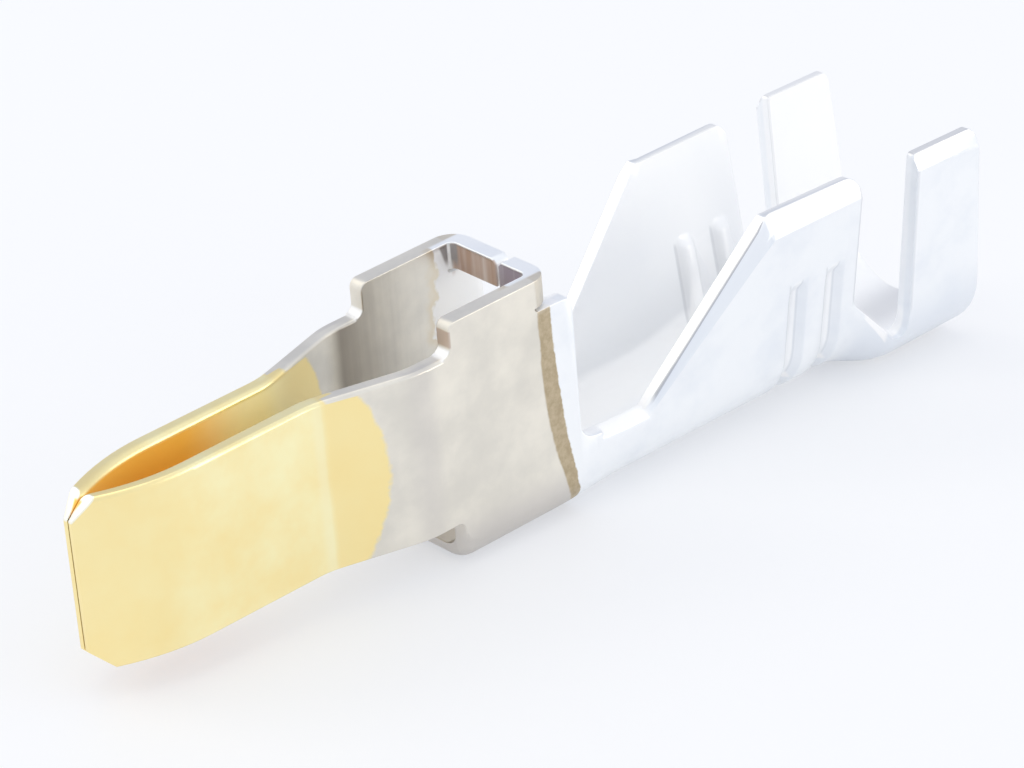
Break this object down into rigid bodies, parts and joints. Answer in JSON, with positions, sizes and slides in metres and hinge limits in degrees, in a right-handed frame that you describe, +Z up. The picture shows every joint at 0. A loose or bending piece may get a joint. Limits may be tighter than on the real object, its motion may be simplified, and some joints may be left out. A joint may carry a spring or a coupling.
{
  "type": "crimp contact",
  "caption": "Stamped and folded crimp contact: a hollow two-leaf blade, an open box with inturned rear tabs, a wire barrel with ribs and an insulation barrel, both with raised wings.",
  "frame": {"origin": "centre of the bounding box at its bottom, on the surface that the contact lies on", "axes": "+X from the blade's nose to the wire end, +Y across the contact, +Z up. The contact lies on the front of its box floor and on its insulation barrel, so its own length axis rises 2.8 degrees towards +X"},
  "size_m": [0.031, 0.0064, 0.0077],
  "materials": {
    "plated_alloy": "copper alloy strip, plated: satin gold on the blade, satin nickel on the box, bright tin on the barrels"
  },
  "bodies": {
    "root": {"contact": "plated_alloy"}
  },
  "joints": []
}
